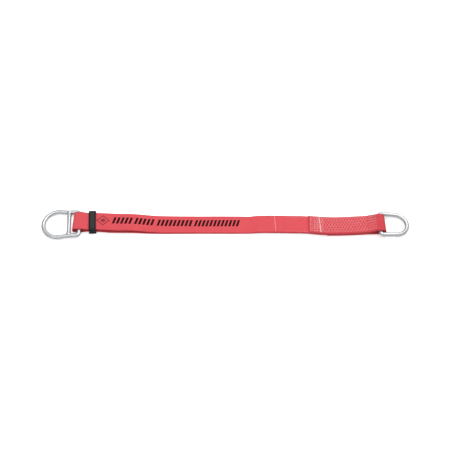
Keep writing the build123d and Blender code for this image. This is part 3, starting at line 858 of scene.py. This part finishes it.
# ------------------------------------------------------------------ keeper
KX0, KX1 = -347.0, -328.8
KY = 5.4
OUT_HALF, IN_HALF = 30.8, 28.4
KTURN = math.radians(3.3)
KTOP, KIN_TOP, KWZ = 17.4, 15.2, 2.2
SPLIT = 8.4


def turned(points):
    """Points turned with the keeper about the upright line through its centre."""
    p = np.array(points, float)
    dx, dy = p[:, 0] - (KX0 + KX1) / 2, p[:, 1] - KY
    p[:, 0] = (KX0 + KX1) / 2 + dx * math.cos(KTURN) - dy * math.sin(KTURN)
    p[:, 1] = KY + dx * math.sin(KTURN) + dy * math.cos(KTURN)
    return p


def loop_points(half, low, high, r, n=9):
    """Rounded rectangle in the (Y, Z) plane, from the far side's middle over the top to the near side's, then along the bottom."""
    pts = []
    corners = [(half - r, high - r, 0), (-half + r, high - r, 90), (-half + r, low + r, 180), (half - r, low + r, 270)]
    for cy, cz, a0 in corners:
        for a in np.linspace(a0, a0 + 90, n):
            pts.append((cy + r * math.cos(math.radians(a)), cz + r * math.sin(math.radians(a))))
    return pts


def half_loop(half, low, high, r, upper, z_split):
    pts = loop_points(half, low, high, r)
    n = len(pts) // 2
    if upper:
        run = [(half, z_split)] + pts[:n] + [(-half, z_split)]
    else:
        run = [(-half, z_split)] + pts[n:] + [(half, z_split)]
    run = np.array(run)
    # length along the run, which nothing uses; the run is returned as it is
    s = np.r_[0, np.cumsum(np.linalg.norm(np.diff(run, axis=0), axis=1))]
    return run


def band(name, upper, z_split, nodes, material):
    outer = half_loop(OUT_HALF, 0.0, KTOP, 3.2, upper, z_split)
    inner = half_loop(IN_HALF, KWZ, KIN_TOP, 0.6, upper, z_split)
    e, k = 0.75, 5
    prof = []
    # section of the wall: t is 0 at the inner face and 1 at the outer one, x along the web
    a = np.radians(np.linspace(0, 90, k))
    width = KX1 - KX0
    wall = 2.6
    for q in a:
        prof.append((KX0 + e - e * math.cos(q), 1 - (e - e * math.sin(q)) / wall))
    for q in a:
        prof.append((KX1 - e + e * math.sin(q), 1 - (e - e * math.cos(q)) / wall))
    f = 0.4
    for q in a:
        prof.append((KX1 - f + f * math.cos(q), (f - f * math.sin(q)) / wall))
    for q in a:
        prof.append((KX0 + f - f * math.sin(q), (f - f * math.cos(q)) / wall))
    m, n = len(prof), len(outer)
    verts, faces = [], []
    for i in range(n):
        for x, t in prof:
            yz = inner[i] * (1 - t) + outer[i] * t
            verts.append((x, KY + yz[0], yz[1]))
    for i in range(n - 1):
        for j in range(m):
            p, q = i * m + j, i * m + (j + 1) % m
            faces.append((p, p + m, q + m, q))
    faces.append(tuple(range(m)))
    faces.append(tuple(reversed(range((n - 1) * m, n * m))))
    mesh = bpy.data.meshes.new(name)
    mesh.from_pydata((turned(verts) * MM).tolist(), [], faces)
    mesh.materials.append(material)
    mesh.polygons.foreach_set("use_smooth", [True] * (len(faces) - 2) + [False, False])
    mesh.update()
    o = bpy.data.objects.new(name, mesh)
    scene.collection.objects.link(o)
    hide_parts(*nodes)
    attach(o, "keeper")
    return o


shell = band("keeper_top_half", True, SPLIT + 0.03, ("keeper_shell",), MAT_BLACK)
base = band("keeper_lower_half", False, SPLIT - 0.03, ("keeper_base",), MAT_BLACK)


def pad(name, x0, x1, y0, y1, z0, z1, r, e, material, n=8, dish=0.0):
    """Rounded plate with a rolled top edge."""
    cx, cy = (x0 + x1) / 2, (y0 + y1) / 2
    hx, hy = (x1 - x0) / 2, (y1 - y0) / 2
    rings = []
    for inset, z in [(0, z0), (0, z1 - e)] + [(e - e * math.cos(q), z1 - e + e * math.sin(q)) for q in np.radians([25, 50, 70, 90])] + [(e + 0.6, z1 - dish), (min(hx, hy) * 0.6, z1 - dish)]:
        rr = max(r - inset, 0.05)
        a, b = hx - inset - rr, hy - inset - rr
        loop = []
        for sx, sy, a0 in ((1, 1, 0), (-1, 1, 90), (-1, -1, 180), (1, -1, 270)):
            for q in np.radians(np.linspace(a0, a0 + 90, n)):
                loop.append((cx + sx * max(a, 0) + rr * math.cos(q), cy + sy * max(b, 0) + rr * math.sin(q), z))
        rings.append(loop)
    m = len(rings[0])
    verts = [p for ring in rings for p in ring]
    faces = []
    for i in range(len(rings) - 1):
        for j in range(m):
            p, q = i * m + j, i * m + (j + 1) % m
            faces.append((p, q, q + m, p + m))
    faces.append(tuple(reversed(range(m))))
    faces.append(tuple(range((len(rings) - 1) * m, len(rings) * m)))
    mesh = bpy.data.meshes.new(name)
    mesh.from_pydata((turned(verts) * MM).tolist(), [], faces)
    mesh.materials.append(material)
    mesh.polygons.foreach_set("use_smooth", [True] * len(faces))
    mesh.update()
    o = bpy.data.objects.new(name, mesh)
    scene.collection.objects.link(o)
    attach(o, "keeper")
    return o


kcx = (KX0 + KX1) / 2
kw = KX1 - KX0
strip_o = pad("keeper_rib", kcx - (kw - 8) / 2, kcx + (kw - 8) / 2, KY - OUT_HALF + 4.5, KY + OUT_HALF - 4.5, KTOP - 0.3, KTOP + 0.8, 2.0, 0.4, MAT_STRIP)

rv, rf = [], []
for sy in (-1, 1):
    cy = KY + sy * (OUT_HALF - 9.5)
    prof = [(3.1, KTOP + 0.7), (3.15, KTOP + 0.9), (3.0, KTOP + 1.1), (2.6, KTOP + 1.25), (2.0, KTOP + 1.36), (1.2, KTOP + 1.41), (0.5, KTOP + 1.43)]
    base_i = len(rv)
    for r, z in prof:
        for j in range(32):
            q = 2 * math.pi * j / 32
            rv.append((kcx + r * math.cos(q), cy + r * math.sin(q), z))
    for i in range(len(prof) - 1):
        for j in range(32):
            p, q = base_i + i * 32 + j, base_i + i * 32 + (j + 1) % 32
            rf.append((p, q, q + 32, p + 32))
    rf.append(tuple(reversed(range(base_i, base_i + 32))))
    rf.append(tuple(range(base_i + (len(prof) - 1) * 32, base_i + len(prof) * 32)))
mesh = bpy.data.meshes.new("keeper_rivet_heads")
mesh.from_pydata((turned(rv) * MM).tolist(), [], rf)
mesh.materials.append(MAT_STRIP)
mesh.polygons.foreach_set("use_smooth", [True] * len(rf))
mesh.update()
rivets = bpy.data.objects.new("keeper_rivet_heads", mesh)
scene.collection.objects.link(rivets)
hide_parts("keeper_rivets")
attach(rivets, "keeper")


def bend(o):
    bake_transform(o)


bend(p1)
for o in (p2f, p2b):
    bend(o)
for o in (p3f, p3b):
    bend(o)
for o in (p4f, p4b, p4l):
    bend(o)
for o in (p5, p5l, p6):
    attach(o, "web_right")

# ------------------------------------------------------------------ floor, light and camera
bpy.ops.mesh.primitive_plane_add(size=60, location=(0, 0, -0.0006))
floor = bpy.context.object
floor.name = "studio_floor"
fm, ft, fs = new_material("studio_floor")
fs.inputs["Base Color"].default_value = (0.86, 0.86, 0.86, 1)
fs.inputs["Roughness"].default_value = 0.9
fs.inputs["Specular IOR Level"].default_value = 0.0
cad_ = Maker(ft)
fs.inputs["Emission Color"].default_value = (1, 1, 1, 1)
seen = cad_.node("ShaderNodeLightPath").outputs["Is Camera Ray"]
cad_.put(fs.inputs["Emission Strength"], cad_.math("MULTIPLY", seen, 0.5))
floor.data.materials.append(fm)

world = bpy.data.worlds.new("studio")
scene.world = world
world.use_nodes = True
wt = world.node_tree
wt.nodes.clear()
k = Maker(wt)
wout = k.node("ShaderNodeOutputWorld")
wbg = k.node("ShaderNodeBackground")
wt.links.new(wbg.outputs[0], wout.inputs[0])
wco = k.node("ShaderNodeTexCoord").outputs["Generated"]
wsep = k.node("ShaderNodeSeparateXYZ")
k.put(wsep.inputs[0], wco)
lift = k.step(wsep.outputs[2], 0.30, 0.7)
wt.links.new(k.mix(lift, (0.13, 0.135, 0.145, 1), (1.0, 1.0, 1.0, 1)), wbg.inputs[0])
wbg.inputs[1].default_value = 0.77


def area(name, where, size, power, aim=(0, 0, 0)):
    data = bpy.data.lights.new(name, "AREA")
    data.shape = "RECTANGLE"
    data.size, data.size_y = size
    data.energy = power
    o = bpy.data.objects.new(name, data)
    o.location = where
    o.rotation_euler = (Vector(aim) - Vector(where)).to_track_quat("-Z", "Y").to_euler()
    scene.collection.objects.link(o)
    return o


area("key", (0.6, 0.9, 2.6), (2.2, 1.4), 52.0)
area("fill", (-1.2, -1.5, 2.4), (1.6, 1.0), 11.0)

ELEV = math.radians(56.9)
DIST = 2.76
aim = Vector((-0.0005, 0.0016, 0.0))
camera = bpy.data.cameras.new("camera")
cam = bpy.data.objects.new("camera", camera)
scene.collection.objects.link(cam)
cam.location = aim + Vector((0, -math.cos(ELEV), math.sin(ELEV))) * DIST
cam.rotation_euler = ((aim - cam.location).to_track_quat("-Z", "Y") @ Quaternion((0, 0, 1), math.radians(-0.15))).to_euler()
camera.sensor_width = 36.0
camera.lens = 36.0 * 1081.0 / 450.0
scene.camera = cam
scene.view_settings.view_transform = "Standard"
scene.view_settings.look = "None"
scene.view_settings.exposure = 0.0
scene.view_settings.gamma = 1.0
